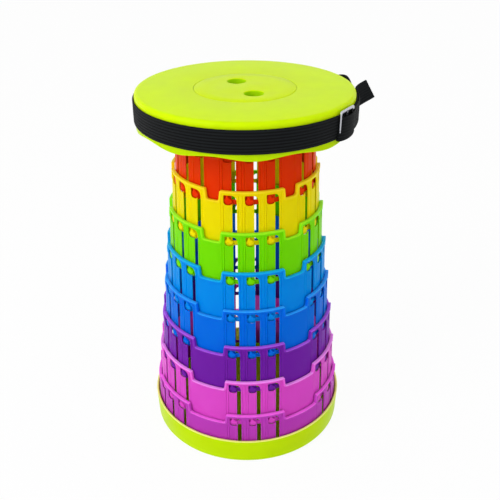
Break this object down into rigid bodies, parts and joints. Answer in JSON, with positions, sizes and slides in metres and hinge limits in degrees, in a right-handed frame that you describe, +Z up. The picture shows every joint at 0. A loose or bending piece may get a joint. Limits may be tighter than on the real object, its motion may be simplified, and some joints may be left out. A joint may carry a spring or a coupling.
{
  "type": "collapsible telescopic stool",
  "caption": "Round plastic stool whose slotted nested rings slide down into its base, with a webbing carrying strap round the seat.",
  "frame": {"origin": "on the stool's axis at the floor on which its feet stand", "axes": "+Z up along the stool's axis, -Y towards the front that the picture shows, +X to its right"},
  "size_m": [0.2779, 0.2542, 0.4531],
  "materials": {
    "lime_plastic": "satin moulded",
    "cap_plastic": "satin moulded",
    "red_plastic": "satin moulded",
    "yellow_plastic": "satin moulded",
    "green_plastic": "satin moulded",
    "sky_plastic": "satin moulded",
    "blue_plastic": "satin moulded",
    "purple_plastic": "satin moulded",
    "pink_plastic": "satin moulded",
    "violet_plastic": "satin moulded",
    "webbing": "woven, ribbed lengthwise",
    "buckle_metal": "satin plated",
    "zinc_steel": "zinc plated",
    "foot_rubber": "matt"
  },
  "bodies": {
    "foundation": {"base": "lime_plastic", "violet_ring": "violet_plastic", "base_screw_1": "zinc_steel", "base_screw_2": "zinc_steel", "base_screw_3": "zinc_steel", "base_screw_4": "zinc_steel", "base_screw_5": "zinc_steel", "base_screw_6": "zinc_steel", "foot_1": "foot_rubber", "foot_2": "foot_rubber", "foot_3": "foot_rubber", "foot_4": "foot_rubber", "foot_5": "foot_rubber", "foot_6": "foot_rubber"},
    "pink_stage": {"pink_ring": "pink_plastic"},
    "purple_stage": {"purple_ring": "purple_plastic"},
    "blue_stage": {"blue_ring": "blue_plastic"},
    "sky_stage": {"sky_ring": "sky_plastic"},
    "green_stage": {"green_ring": "green_plastic"},
    "yellow_stage": {"yellow_ring": "yellow_plastic"},
    "red_stage": {"red_ring": "red_plastic"},
    "seat": {"seat_shell": "lime_plastic", "centre_cap": "cap_plastic", "upper_ring": "red_plastic", "seat_screw_1": "zinc_steel", "seat_screw_2": "zinc_steel", "seat_screw_3": "zinc_steel", "seat_screw_4": "zinc_steel", "seat_screw_5": "zinc_steel", "seat_screw_6": "zinc_steel", "strap": "webbing", "buckle": "buckle_metal"}
  },
  "joints": [
    {"name": "pink_slide", "type": "slide", "parent": "foundation", "child": "pink_stage", "axis": [0, 0, -1], "range_m": [0, 0.0479]},
    {"name": "purple_slide", "type": "slide", "parent": "pink_stage", "child": "purple_stage", "axis": [0, 0, -1], "range_m": [0, 0.0479]},
    {"name": "blue_slide", "type": "slide", "parent": "purple_stage", "child": "blue_stage", "axis": [0, 0, -1], "range_m": [0, 0.0479]},
    {"name": "sky_slide", "type": "slide", "parent": "blue_stage", "child": "sky_stage", "axis": [0, 0, -1], "range_m": [0, 0.0479]},
    {"name": "green_slide", "type": "slide", "parent": "sky_stage", "child": "green_stage", "axis": [0, 0, -1], "range_m": [0, 0.0479]},
    {"name": "yellow_slide", "type": "slide", "parent": "green_stage", "child": "yellow_stage", "axis": [0, 0, -1], "range_m": [0, 0.0479]},
    {"name": "red_slide", "type": "slide", "parent": "yellow_stage", "child": "red_stage", "axis": [0, 0, -1], "range_m": [0, 0.0479]},
    {"name": "seat_slide", "type": "slide", "parent": "red_stage", "child": "seat", "axis": [0, 0, -1], "range_m": [0, 0.039]}
  ]
}
